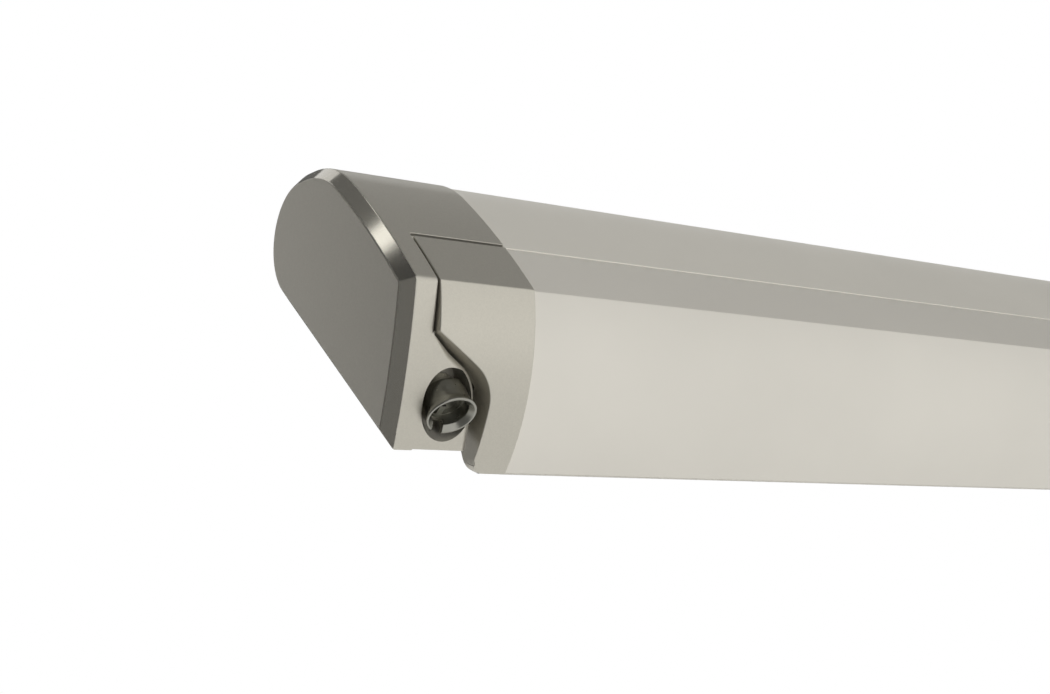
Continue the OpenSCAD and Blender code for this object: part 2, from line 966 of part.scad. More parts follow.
module arm_spring() {
  arm_frame()
    translate([tube_in + 32, 0, 0])
      rotate([0, 90, 0])
        cylinder(h = arm_l - tube_in - elbow_in - 64, r = upper_w / 2 - arm_wall - 0.2, $fn = 48);
}

module forearm() {
  arm_frame()
    translate([0, -arm_gap, 0])
      along_x(tube_in, elbow_x - elbow_in)
        tube_section(fore_w, fore_h, arm_wall, 4);
}

module elbow_tongue() {
  w = fore_w / 2;
  h = fore_h / 2;
  arm_frame()
    translate([elbow_x, -arm_gap, 0])
      difference() {
        union() {
          translate([0, 0, -tongue_h])
            linear_extrude(height = 2 * tongue_h) {
              translate([0, arm_gap / 2])
                circle(r = ear_r - 0.5, $fn = 64);
              polygon([[-elbow_in, -w], [-elbow_in, w - 1], [-9, arm_gap / 2 + 6.9], [2, -0.3], [-10, -w]]);
            }
          block(-elbow_in - 32, -elbow_in, -w + arm_wall + 0.2, w - arm_wall - 0.2,
            -h + arm_wall + 2, h - arm_wall - 2);
        }
        translate([0, arm_gap / 2, -40])
          cylinder(h = 80, r = pin_r + play, $fn = 64);
      }
}

module wrist_knuckle() {
  arm_frame()
    translate([0, -arm_gap, 0])
      end_knuckle(fore_w, fore_h);
}

module left_upper_arm() {
  color(case_c)
    place()
      upper_arm();
}

module right_upper_arm() {
  color(case_c)
    place()
      on_right()
        upper_arm();
}

module left_shoulder_knuckle() {
  color(cast_c)
    place()
      shoulder_knuckle();
}

module right_shoulder_knuckle() {
  color(cast_c)
    place()
      on_right()
        shoulder_knuckle();
}

module left_elbow_fork() {
  color(cast_c)
    place()
      elbow_fork();
}

module right_elbow_fork() {
  color(cast_c)
    place()
      on_right()
        elbow_fork();
}

module left_elbow_pin() {
  color(steel_c)
    place()
      elbow_pin();
}

module right_elbow_pin() {
  color(steel_c)
    place()
      on_right()
        elbow_pin();
}

module left_arm_spring() {
  color(steel_c)
    place()
      arm_spring();
}

module right_arm_spring() {
  color(steel_c)
    place()
      on_right()
        arm_spring();
}

module left_forearm() {
  color(case_c)
    place()
      forearm();
}

module right_forearm() {
  color(case_c)
    place()
      on_right()
        forearm();
}

module left_elbow_tongue() {
  color(cast_c)
    place()
      elbow_tongue();
}

module right_elbow_tongue() {
  color(cast_c)
    place()
      on_right()
        elbow_tongue();
}

module left_wrist_knuckle() {
  color(cast_c)
    place()
      wrist_knuckle();
}

module right_wrist_knuckle() {
  color(cast_c)
    place()
      on_right()
        wrist_knuckle();
}

module rail_section() {
  e = proud;
  difference() {
    union() {
      polygon(concat(rail_skin(e), back(rail_skin(e + lead_wall))));
      // web over the legs, its rear lip and the wall behind the front
      translate([rail_y(web_z, e) + 1, web_z])
        square([leg_back + 2.5 - rail_y(web_z, e) - 1, lead_wall]);
      translate([leg_back + 0.8, 5])
        square([1.7, web_top - 5]);
      translate([leg_y - 2.5, lead_z + 1])
        square([1.6, web_z - lead_z]);
      translate([lead_y + 1, lead_z + 0.4])
        square([leg_y - 0.9 - lead_y - 1, 1.8]);
      // fabric groove
      translate([keder_y, keder_z])
        circle(r = keder_r + 2.6, $fn = 12);
      translate([rail_y(keder_z, e) + 1, keder_z - 1])
        square([keder_y - rail_y(keder_z, e) - 3, 2]);
      // top rib under the seam
      translate(slope_c + (slope_r - e - lead_wall) * dir(seam_a + 0.35))
        rotate(seam_a - 90)
          translate([-2, -6])
            square([1.8, 6.4]);
    }
    translate([keder_y, keder_z])
      circle(r = keder_r + 1, $fn = 12);
    translate([keder_y, keder_z - 1.2])
      square([10, 2.4]);
  }
}

module lead_rail() {
  color(rail_c)
    place()
      along_x(-case_x, case_x)
        rail_section();
}

// lead rail cap behind its skin, from the side
function cap_depth(e) = concat(
  rail_skin(e),
  [[lead_y + 4, lead_z + 3 + e], [14 + e * 4, 4 + e], [14 + e * 4, 22], [-3 + e * 4, 31], [-3 + e * 4, 56],
    [5 + e * 4, 61], [5 + e * 4, 95]]
);

module lead_cap() {
  difference() {
    intersection() {
      along_x(0, cap_len)
        polygon(cap_depth(0));
      along_y(-70, 60)
        polygon(concat(opening(0, 1, case_h, -70), [[cap_len, -70], [cap_len, case_h]]));
    }
    intersection() {
      along_x(0, cap_len + 1)
        polygon(cap_depth(cap_wall));
      along_y(-70, 60)
        polygon(concat(opening(-cap_wall, 1, case_h, -70), [[cap_len + 1, -70], [cap_len + 1, case_h]]));
    }
  }
  // spigot that plugs into the rail
  intersection() {
    union() {
      along_x(cap_len - 8, cap_len)
        polygon(concat(rail_skin(1), back(rail_skin(proud + lead_wall + 2.2))));
      along_x(cap_len - 1, cap_len + 12)
        polygon(concat(rail_skin(proud + lead_wall + 0.2), back(rail_skin(proud + lead_wall + 2.2))));
    }
    block(cap_len - 9, cap_len + 13, -40, 20, web_top + 3, keder_z - 6);
  }
}

module left_lead_cap() {
  color(rail_c)
    place()
      left_end()
        lead_cap();
}

module right_lead_cap() {
  color(rail_c)
    place()
      on_right()
        left_end()
          lead_cap();
}

module wrist_bracket() {
  difference() {
    union() {
      arm_frame()
        translate([0, -arm_gap, 0]) {
          for (s = [ear_0, -ear_1])
            translate([0, 0, s])
              linear_extrude(height = ear_1 - ear_0) {
                circle(r = ear_r, $fn = 64);
                translate([-ear_r, -16])
                  square([2 * ear_r, 16]);
              }
          block(-ear_r, ear_r, -16, -knuckle_r - 0.6, -ear_1, ear_1);
          block(-ear_r, ear_r, -12, 9, -ear_1 - 6, -ear_1);
        }
    }
    arm_frame()
      translate([0, -arm_gap, -40])
        cylinder(h = 80, r = pin_r, $fn = 64);
    block(-shoulder_x - 30, -shoulder_x + 30, -60, 60, -60, web_top);
    along_x(-shoulder_x - 30, -shoulder_x + 30)
      difference() {
        translate([-60, 0])
          square([80, case_h]);
        polygon(concat(rail_skin(proud + lead_wall), [[60, -30], [60, 100]]));
      }
  }
}

module left_wrist_bracket() {
  color(cast_c)
    place()
      wrist_bracket();
}

module right_wrist_bracket() {
  color(cast_c)
    place()
      on_right()
        wrist_bracket();
}

module wrist_pins() {
  color(steel_c)
    place()
      both()
        arm_frame()
          translate([0, -arm_gap, 0]) {
            translate([0, 0, -ear_1])
              cylinder(h = 2 * ear_1, r = pin_r - 0.01, $fn = 64);
            translate([0, 0, ear_1])
              cylinder(h = 1.5, r = pin_r + 2, $fn = 64);
          }
}

module keder_rod() {
  color(dark_c)
    place()
      translate([-roller_x + 10, keder_y, keder_z])
        rotate([0, 90, 0])
          cylinder(h = 2 * roller_x - 20, r = keder_r, $fn = 32);
}

// leg parts lie along x from the hinge, centred on the leg in y and z
module leg_place(side) {
  if (side < 0)
    translate([-leg_hinge, leg_y + leg_w / 2, leg_z])
      children();
  if (side > 0)
    on_right()
      translate([-leg_hinge, leg_y + leg_w * 1.5 + 1, leg_z])
        children();
}

module leg_rod(r, w) {
  translate([0, w / 2, 0])
    rotate([90, 0, 0])
      cylinder(h = w, r = r, $fn = 48);
}

module leg_hinge_brackets() {
  color(cast_c)
    place()
      for (s = [-1, 1])
        leg_place(s)
          difference() {
            union() {
              block(-12, 8, -leg_w / 2, leg_w / 2, web_z - leg_z - 2, web_z - leg_z);
              for (k = [-leg_w / 2, leg_w / 2 - 2.2])
                block(-7, 7, k, k + 2.2, -7, web_z - leg_z);
            }
            leg_rod(leg_pin_r, 40);
          }
}

module leg_pins() {
  color(steel_c)
    place()
      for (s = [-1, 1])
        leg_place(s)
          leg_rod(leg_pin_r - 0.01, leg_w - 0.4);
}

module leg_knuckle() {
  difference() {
    union() {
      leg_rod(7, leg_w - 4.6);
      block(0, leg_tube_in, -leg_w / 2 + 2.4, leg_w / 2 - 2.4, -6, 6);
      along_x(leg_tube_in, leg_tube_in + 26)
        polygon(round_box(leg_w - 2 * leg_wall - 0.4, leg_h - 2 * leg_wall - 0.4, 2.2));
    }
    leg_rod(leg_pin_r + play, 40);
  }
}

module leg_tube() {
  along_x(leg_tube_in, leg_tube_in + leg_l)
    tube_section(leg_w, leg_h, leg_wall, 3);
}

module leg_collar() {
  along_x(leg_tube_in + leg_l, leg_tube_in + leg_l + 14)
    difference() {
      polygon(round_box(leg_w, leg_h, 3));
      polygon(round_box(leg_w - 2 * leg_wall - 0.4, leg_h - 2 * leg_wall - 0.4, 2));
    }
}

module leg_inner() {
  w = leg_w - 2 * leg_wall - 0.6;
  h = leg_h - 2 * leg_wall - 0.6;
  difference() {
    union() {
      along_x(leg_tube_in + 30, leg_tube_in + leg_l + 20)
        tube_section(w, h, leg_wall, 2);
      block(leg_tube_in + leg_l, leg_tube_in + leg_l + 26, -w / 2 + 0.5, w / 2 - 0.5, -h / 2 + 0.5, h / 2 - 0.5);
      block(leg_tube_in + leg_l + 20, foot_at, -2, 2, -5, 5);
      translate([foot_at, 0, 0])
        leg_rod(5, 4);
    }
    translate([foot_at, 0, 0])
      leg_rod(leg_pin_r + play, 20);
  }
}

module leg_foot() {
  translate([foot_at, 0, 0]) {
    for (k = [-leg_w / 2, 2.3])
      block(-5, 9, k, k + leg_w / 2 - 2.3, -5, 7);
    block(-5, foot_l, -leg_w / 2, leg_w / 2, 6.5, 8.6);
    leg_rod(leg_pin_r, leg_w - 1);
  }
}

module left_leg_tube() {
  color(case_c)
    place()
      leg_place(-1)
        leg_tube();
}

module right_leg_tube() {
  color(case_c)
    place()
      leg_place(1)
        leg_tube();
}

module left_leg_knuckle() {
  color(dark_c)
    place()
      leg_place(-1)
        leg_knuckle();
}

module right_leg_knuckle() {
  color(dark_c)
    place()
      leg_place(1)
        leg_knuckle();
}

module left_leg_collar() {
  color(dark_c)
    place()
      leg_place(-1)
        leg_collar();
}

module right_leg_collar() {
  color(dark_c)
    place()
      leg_place(1)
        leg_collar();
}

module left_leg_inner() {
  color(steel_c)
    place()
      leg_place(-1)
        leg_inner();
}

module right_leg_inner() {
  color(steel_c)
    place()
      leg_place(1)
        leg_inner();
}

module left_leg_foot() {
  color(dark_c)
    place()
      leg_place(-1)
        leg_foot();
}

module right_leg_foot() {
  color(dark_c)
    place()
      leg_place(1)
        leg_foot();
}

case_profile();
left_end_cap();
right_end_cap();
left_end_bracket();
right_end_bracket();
gearbox_base();
gearbox_lid();
gearbox_screws();
end_bracket_screws();
roller_bushes();
left_shoulder_bracket();
right_shoulder_bracket();
shoulder_pins();
bracket_set_screws();
case_seal();
crank_bell();
worm_shaft();
worm_wheel();
roller_tube();
roller_drive_plug();
roller_idler_plug();
fabric_roll();
fabric_sheet();
left_upper_arm();
left_shoulder_knuckle();
left_elbow_fork();
left_elbow_pin();
left_arm_spring();
left_forearm();
left_elbow_tongue();
left_wrist_knuckle();
right_upper_arm();
right_shoulder_knuckle();
right_elbow_fork();
right_elbow_pin();
right_arm_spring();
right_forearm();
right_elbow_tongue();
right_wrist_knuckle();
lead_rail();
left_lead_cap();
right_lead_cap();
left_wrist_bracket();
right_wrist_bracket();
wrist_pins();
keder_rod();
leg_hinge_brackets();
leg_pins();
left_leg_tube();
left_leg_knuckle();
left_leg_collar();
left_leg_inner();
left_leg_foot();
right_leg_tube();
right_leg_knuckle();
right_leg_collar();
right_leg_inner();
right_leg_foot();
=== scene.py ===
"""Looks for a cassette roll out awning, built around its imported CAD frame.

Every piece is modelled in metres in the frame of the CAD: +X along the case, -Y the way the awning
rolls out, +Z up, with the origin at the mouth of the roof bracket slot.
"""

import json
import math

import bmesh
import bpy
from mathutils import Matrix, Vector
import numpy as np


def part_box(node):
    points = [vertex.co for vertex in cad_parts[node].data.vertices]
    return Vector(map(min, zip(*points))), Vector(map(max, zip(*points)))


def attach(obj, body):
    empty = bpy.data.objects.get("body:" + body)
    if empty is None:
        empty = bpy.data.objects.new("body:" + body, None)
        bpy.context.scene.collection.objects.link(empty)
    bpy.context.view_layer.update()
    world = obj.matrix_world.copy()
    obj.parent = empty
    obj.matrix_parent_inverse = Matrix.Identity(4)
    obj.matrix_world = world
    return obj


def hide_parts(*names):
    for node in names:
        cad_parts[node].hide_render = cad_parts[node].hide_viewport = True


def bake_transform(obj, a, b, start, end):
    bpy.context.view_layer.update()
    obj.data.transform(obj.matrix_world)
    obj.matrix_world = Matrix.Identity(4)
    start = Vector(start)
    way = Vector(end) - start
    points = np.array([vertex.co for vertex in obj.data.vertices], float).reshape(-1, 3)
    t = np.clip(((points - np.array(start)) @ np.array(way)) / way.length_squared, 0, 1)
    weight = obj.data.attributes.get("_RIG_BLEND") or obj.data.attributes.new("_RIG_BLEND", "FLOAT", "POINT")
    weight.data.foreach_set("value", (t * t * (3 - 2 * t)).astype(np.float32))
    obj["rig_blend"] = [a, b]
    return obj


bl_info = {
    "name": "Roll out awning",
    "version": (1, 0, 0),
    "blender": (4, 5, 0),
    "location": "View3D > Sidebar > Awning",
    "description": "Dresses the packed frame of a cassette awning: paint, cloth, castings, legs and stage",
    "category": "Object",
}

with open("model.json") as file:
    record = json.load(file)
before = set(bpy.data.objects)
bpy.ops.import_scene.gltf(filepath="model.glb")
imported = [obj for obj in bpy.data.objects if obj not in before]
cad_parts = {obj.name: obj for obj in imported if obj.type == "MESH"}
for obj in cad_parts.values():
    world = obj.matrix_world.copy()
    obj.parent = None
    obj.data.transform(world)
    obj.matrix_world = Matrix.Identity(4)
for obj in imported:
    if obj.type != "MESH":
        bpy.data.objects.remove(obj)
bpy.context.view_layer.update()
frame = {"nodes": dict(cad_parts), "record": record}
NODES = frame["nodes"]
BEHAVIOUR = frame["record"]["behaviour"]
BODY_OF = {node: body for body, nodes in BEHAVIOUR["bodies"].items() for node in nodes}
SLOT_OF = {row["node"]: row["material_slot"] for row in frame["record"]["subparts"]}
MM = 0.001

# the cloth, as wide as the CAD roll; at this pitch the roll holds the whole run-out and nearly one wrap more
CLOTH_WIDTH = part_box("fabric_roll")[1].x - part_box("fabric_roll")[0].x
WRAP_PITCH = 0.39 * MM
WOUND_THICKNESS = 0.36 * MM
FREE_THICKNESS = 0.5 * MM
# how far the wound cloth keeps off the tube and inside the CAD roll
ROLL_CLEARANCE = 0.3 * MM
# the hems: their width, the step where the second layer ends, and two rows of stitches in from the side
HEM = 25 * MM
HEM_STEP = 0.4 * MM
STITCH_ROWS = (4 * MM, 21 * MM)
STITCH_WIDTH = 1.8 * MM
STITCH_LENGTH = 6 * MM
STITCH_PITCH = 8 * MM

# way the crank bell points into the case, and the middle of its mouth
CRANK_AXIS = Vector((0, 0.6018, 0.7986))
BELL_MOUTH = Vector((-1.2697, -0.0909, -0.0434))
BELL_LIP = 0.3 * MM
BELL_LIP_DEPTH = 5 * MM

# The end caps are dressed in millimetres of their section: x from where the left cap's chamfer ends,
# y and z from its front bottom edge. These turn a place of the frame into one of the section.
SECTION_X, SECTION_Y, SECTION_Z = 1294, 79.3454, 59.2141
MIRROR = Vector((-1, 1, 1))
POCKET, POCKET_REACH = (24.3, -11.6, 15.8), 16.2
SEAT_X = 64
NOSE_Z = 70
SEAM_X, SEAM_LOW, SEAM_HIGH = 8, 53, 106
ROLLED_X, ROLLED_Z = 11.7, 53.2
SEAT_EDGE, NOSE_EDGE, SEAM_EDGE, RIM_EDGE = 0.3 * MM, 2.2 * MM, 1.2 * MM, 0.55 * MM
WIDEST_EDGE = 5 * MM
# the chamfer round the outer face: how far out it lies in metres, and the slopes of its faces
CHAMFER_X = 1.2905
CHAMFER_SLOPES = (0.55, 0.85)
# the edge of the cap's opening in x and z: the knee, the slant's run and the way off it, the bend and the
# upright
KNEE, SLANT, SLANT_OUT = (11.6, 53.3), (18.4, -12.4), (0.559, 0.829)
BEND, BEND_RADIUS, BEND_TURN = (17.8, 22.7), 22, 56.2
UPRIGHT_X, UPRIGHT_HEIGHTS = 39.8, (17, 11, 5, 0, -3)
# the cap's front face leans and curves: y over z, by the two factors of a parabola
FRONT_LEAN, FRONT_CURVE = -0.3875, 0.001615
# the rolled edge: its radius at the knee, how much it grows over which run, and how far the cutter stands out
ROLL_START, ROLL_GROWTH, ROLL_RUN = 0.4, 4.6, 13
CUTTER_REACH = 1.5

WHITE = "#FFFFFF"
BLACK = "#000000"
AMBIENT = 0.07
FLOOR_RADIUS = 14
FLOOR_FADE = (3.0, 13.0)
FLOOR_LIFT = (0.66, 1.0)
# name, width and height, place, turn in degrees, brightness
CARDS = (
    ("left_card", (4.7, 3.8), (-2.6, 0.15, 0.3), (90, 0, 90), 0.14),
    ("top_card", (5.1, 2.8), (1.0, 0.2, 1.9), (0, 0, 0), 0.28),
    ("dark_card", (1.0, 1.62), (-2.1, -0.39, 1.9), (0, 0, 0), 0.02),
    ("dusk_card", (1.0, 0.84), (-2.1, 0.98, 1.9), (0, 0, 0), 0.16),
    ("strip_card", (0.9, 0.13), (-2.1, 0.495, 1.9), (0, 0, 0), 2.2),
    ("back_card", (6.9, 2.9), (1.55, 2.6, 0.45), (90, 0, 0), 0.12),
    ("front_card", (6.0, 3.2), (2.0, -3.3, 0.9), (90, 0, 0), 1.06),
    ("low_card", (6.0, 1.9), (2.0, -3.3, -1.65), (90, 0, 0), 0.84),
    ("floor_card", (6.0, 3.2), (2.0, -1.75, -2.6), (0, 0, 0), 0.8),
)
# name, the way it stands from the case, spread in degrees, strength
LAMPS = (
    ("front_softbox", (1.4, -3.3, -0.65), 36, 2.5),
    ("top_softbox", (0.1, 1.6, 1.95), 50, 2.5),
    ("back_softbox", (0.2, 3.4, -0.4), 50, 0.8),
)
# the camera stands at the front left and a little below: its place, its tilt and turn in degrees, its lens
EYE = (-1.61972, -0.66924, -0.09812)
LOOK_UP, LOOK_RIGHT = 7.367, 34.056
LENS_MM, SENSOR_MM = 50, 36


class AwningColours(bpy.types.PropertyGroup):
    """Finishes of the awning."""

    # the case paint is set lighter than the rail paint: that lift is painted light, which brightens the case
    # top
    case: bpy.props.StringProperty(
        name="Case paint", description="Powder coat of the case and the arms", default="#DEDACF")
    cap: bpy.props.StringProperty(
        name="Cap paint", description="Metallic enamel of the end caps", default="#C2BEB3")
    rail: bpy.props.StringProperty(
        name="Rail paint", description="Powder coat of the lead rail", default="#D6D2C8")
    cloth: bpy.props.StringProperty(
        name="Cloth", description="Coated awning cloth", default="#B9B8B2")
    floor: bpy.props.StringProperty(
        name="Floor", description="Floor of the studio", default="#ADADAC")


def edge_size(name, description, radius):
    """A property for the radius, in millimetres, that the edges of some pieces are rounded by."""
    return bpy.props.FloatProperty(name=name, description=description, default=radius * MM, unit="LENGTH")


class AwningSizes(bpy.types.PropertyGroup):
    """Sizes that the dressing uses."""

    floor_drop: bpy.props.FloatProperty(
        name="Floor drop", description="How far the ground lies below the bracket slot", default=2.63,
        unit="LENGTH")
    profile_edge: edge_size("Profile edges", "Rounding of the case profile and the lead rail", 0.3)
    lead_cap_edge: edge_size("Lead cap edges", "Rounding of the caps of the lead rail", 0.45)
    bracket_edge: edge_size("Bracket edges", "Rounding of the end, shoulder and wrist brackets", 0.5)
    arm_edge: edge_size("Arm edges", "Rounding of the arms and their castings", 0.6)
    leg_edge: edge_size("Leg edges", "Rounding of the legs", 0.4)
    drive_edge: edge_size("Drive edges", "Rounding of the worm drive, its gearbox and the roller", 0.25)
    small_edge: edge_size("Small edges", "Rounding of pins, screws, springs, leg hinges and the seal", 0.2)


def settings():
    return bpy.context.scene.awning_colours, bpy.context.scene.awning_sizes


def linear(hex_colour):
    """An sRGB hex value as a linear RGBA colour."""
    parts = [int(hex_colour[i:i + 2], 16) / 255 for i in (1, 3, 5)]
    return tuple(c / 12.92 if c <= 0.04045 else ((c + 0.055) / 1.055) ** 2.4 for c in parts) + (1.0,)


def shade(colour, share):
    """A linear colour made darker or lighter by a share."""
    return tuple(min(1, c * share) for c in colour[:3]) + (1.0,)


def add_node(tree, kind, sockets=None, ramp=(), **values):
    """Add a shader node, set its values and the stops of its colour ramp, and fill or link its sockets."""
    node = tree.nodes.new(kind)
    for name, value in values.items():
        setattr(node, name, value)
    for index, (position, colour) in enumerate(ramp):
        node.color_ramp.elements[index].position = position
        node.color_ramp.elements[index].color = colour
    for socket, value in (sockets or {}).items():
        if isinstance(value, bpy.types.NodeSocket):
            tree.links.new(value, node.inputs[socket])
        else:
            node.inputs[socket].default_value = value
    return node


def new_material(name):
    """A material with an empty node tree."""
    material = bpy.data.materials.new(name)
    material.use_nodes = True
    material.node_tree.nodes.clear()
    return material, material.node_tree


def surface(tree, sockets):
    """End a material's tree with its shader; what is the same all over is set on the shader's own socket."""
    shader = add_node(tree, "ShaderNodeBsdfPrincipled", sockets)
    add_node(tree, "ShaderNodeOutputMaterial", {"Surface": shader.outputs["BSDF"]})


def powder_coat(name, colour):
    """Polyester powder coat on extruded aluminium: satin, with a faint orange peel about 1.5 mm wide and a
    tone that drifts over about 110 mm."""
    material, tree = new_material(name)
    base = linear(colour)
    place = add_node(tree, "ShaderNodeTexCoord").outputs["Object"]
    peel = add_node(tree, "ShaderNodeTexNoise", {"Vector": place, "Scale": 650.0, "Detail": 2.0})
    drift = add_node(tree, "ShaderNodeTexNoise", {"Vector": place, "Scale": 9.0, "Detail": 3.0})
    tone = add_node(tree, "ShaderNodeValToRGB", {"Fac": drift.outputs["Fac"]},
                    ramp=((0.3, shade(base, 0.97)), (0.7, shade(base, 1.02))))
    bump = add_node(tree, "ShaderNodeBump",
                    {"Height": peel.outputs["Fac"], "Strength": 0.04, "Distance": 0.4 * MM})
    surface(tree, {"Base Color": tone.outputs["Color"], "Roughness": 0.42, "Normal": bump.outputs["Normal"]})
    return material


def metallic_enamel(name, colour, rough_low=0.34, rough_high=0.42):
    """Metallic enamel on a die casting: aluminium flake in a satin binder, so that faces turn dark or light
    as a whole."""
    material, tree = new_material(name)
    base = linear(colour)
    place = add_node(tree, "ShaderNodeTexCoord").outputs["Object"]
    # flake of about 0.1 mm, drawn near 0.7 mm so that it shows
    flake = add_node(tree, "ShaderNodeTexVoronoi", {"Vector": place, "Scale": 1400.0})
    tone = add_node(tree, "ShaderNodeValToRGB", {"Fac": flake.outputs["Color"]},
                    ramp=((0, shade(base, 0.96)), (1, shade(base, 1.03))))
    rough = add_node(tree, "ShaderNodeMapRange",
                     {"Value": flake.outputs["Distance"], "To Min": rough_low, "To Max": rough_high})
    surface(tree, {"Base Color": tone.outputs["Color"], "Metallic": 0.75,
                   "Roughness": rough.outputs["Result"]})
    return material


def nickel_plate(name):
    """Satin nickel plate on a die casting, with a polish that varies over about 4 mm."""
    material, tree = new_material(name)
    place = add_node(tree, "ShaderNodeTexCoord").outputs["Object"]
    polish = add_node(tree, "ShaderNodeTexNoise", {"Vector": place, "Scale": 250.0, "Detail": 3.0})
    rough = add_node(tree, "ShaderNodeMapRange",
                     {"Value": polish.outputs["Fac"], "To Min": 0.24, "To Max": 0.34})
    surface(tree, {"Base Color": linear("#98978F"), "Metallic": 1.0, "Roughness": rough.outputs["Result"]})
    return material


def cast_aluminium(name):
    """Sand-blasted die-cast aluminium: grey, with grit marks about 0.6 mm wide."""
    material, tree = new_material(name)
    place = add_node(tree, "ShaderNodeTexCoord").outputs["Object"]
    grit = add_node(tree, "ShaderNodeTexNoise", {"Vector": place, "Scale": 1600.0, "Detail": 4.0})
    tone = add_node(tree, "ShaderNodeValToRGB", {"Fac": grit.outputs["Fac"]},
                    ramp=((0, linear("#8E8F90")), (1, linear("#B4B5B6"))))
    bump = add_node(tree, "ShaderNodeBump",
                    {"Height": grit.outputs["Fac"], "Strength": 0.15, "Distance": 0.3 * MM})
    surface(tree, {"Base Color": tone.outputs["Color"], "Metallic": 1.0, "Roughness": 0.5,
                   "Normal": bump.outputs["Normal"]})
    return material


def anodised_tube(name):
    """Clear anodised extruded aluminium: silver, with die lines along the tube about 0.5 mm apart."""
    material, tree = new_material(name)
    place = add_node(tree, "ShaderNodeTexCoord").outputs["Object"]
    drawn = add_node(tree, "ShaderNodeMapping", {"Vector": place, "Scale": (6.0, 2000.0, 2000.0)})
    lines = add_node(tree, "ShaderNodeTexNoise",
                     {"Vector": drawn.outputs["Vector"], "Scale": 1.0, "Detail": 2.0})
    tone = add_node(tree, "ShaderNodeValToRGB", {"Fac": lines.outputs["Fac"]},
                    ramp=((0, linear("#C3C4C6")), (1, linear("#D6D7D8"))))
    rough = add_node(tree, "ShaderNodeMapRange",
                     {"Value": lines.outputs["Fac"], "To Min": 0.28, "To Max": 0.42})
    surface(tree, {"Base Color": tone.outputs["Color"], "Metallic": 1.0,
                   "Roughness": rough.outputs["Result"]})
    return material


def zinc_steel(name):
    """Bright zinc plated steel: cool grey, with a passivation that clouds over about 4.5 mm."""
    material, tree = new_material(name)
    place = add_node(tree, "ShaderNodeTexCoord").outputs["Object"]
    cloud = add_node(tree, "ShaderNodeTexNoise", {"Vector": place, "Scale": 220.0, "Detail": 3.0})
    tone = add_node(tree, "ShaderNodeValToRGB", {"Fac": cloud.outputs["Fac"]},
                    ramp=((0, linear("#A9ABAE")), (1, linear("#C6C7C9"))))
    surface(tree, {"Base Color": tone.outputs["Color"], "Metallic": 1.0, "Roughness": 0.3})
    return material


def glass_filled_nylon(name):
    """Moulded glass-filled nylon: dark grey with a fine spark-eroded grain, about 0.5 mm."""
    material, tree = new_material(name)
    base = linear("#4A4A48")
    place = add_node(tree, "ShaderNodeTexCoord").outputs["Object"]
    grain = add_node(tree, "ShaderNodeTexNoise", {"Vector": place, "Scale": 2000.0, "Detail": 2.0})
    tone = add_node(tree, "ShaderNodeValToRGB", {"Fac": grain.outputs["Fac"]},
                    ramp=((0, shade(base, 0.85)), (1, shade(base, 1.15))))
    bump = add_node(tree, "ShaderNodeBump",
                    {"Height": grain.outputs["Fac"], "Strength": 0.1, "Distance": 0.2 * MM})
    surface(tree, {"Base Color": tone.outputs["Color"], "Roughness": 0.48, "Normal": bump.outputs["Normal"]})
    return material


def turned_brass(name):
    """Machined brass: warm and bright, with a polish that varies over about 1 mm."""
    material, tree = new_material(name)
    place = add_node(tree, "ShaderNodeTexCoord").outputs["Object"]
    polish = add_node(tree, "ShaderNodeTexNoise", {"Vector": place, "Scale": 900.0})
    rough = add_node(tree, "ShaderNodeMapRange",
                     {"Value": polish.outputs["Fac"], "To Min": 0.2, "To Max": 0.36})
    surface(tree, {"Base Color": linear("#C9A65A"), "Metallic": 1.0, "Roughness": rough.outputs["Result"]})
    return material


def black_rubber(name):
    """Extruded EPDM rubber: black and dull, with a chalky bloom in patches of about 6 mm."""
    material, tree = new_material(name)
    place = add_node(tree, "ShaderNodeTexCoord").outputs["Object"]
    bloom = add_node(tree, "ShaderNodeTexNoise", {"Vector": place, "Scale": 160.0, "Detail": 4.0})
    tone = add_node(tree, "ShaderNodeValToRGB", {"Fac": bloom.outputs["Fac"]},
                    ramp=((0, linear("#191919")), (1, linear("#2C2C2B"))))
    surface(tree, {"Base Color": tone.outputs["Color"], "Roughness": 0.75})
    return material


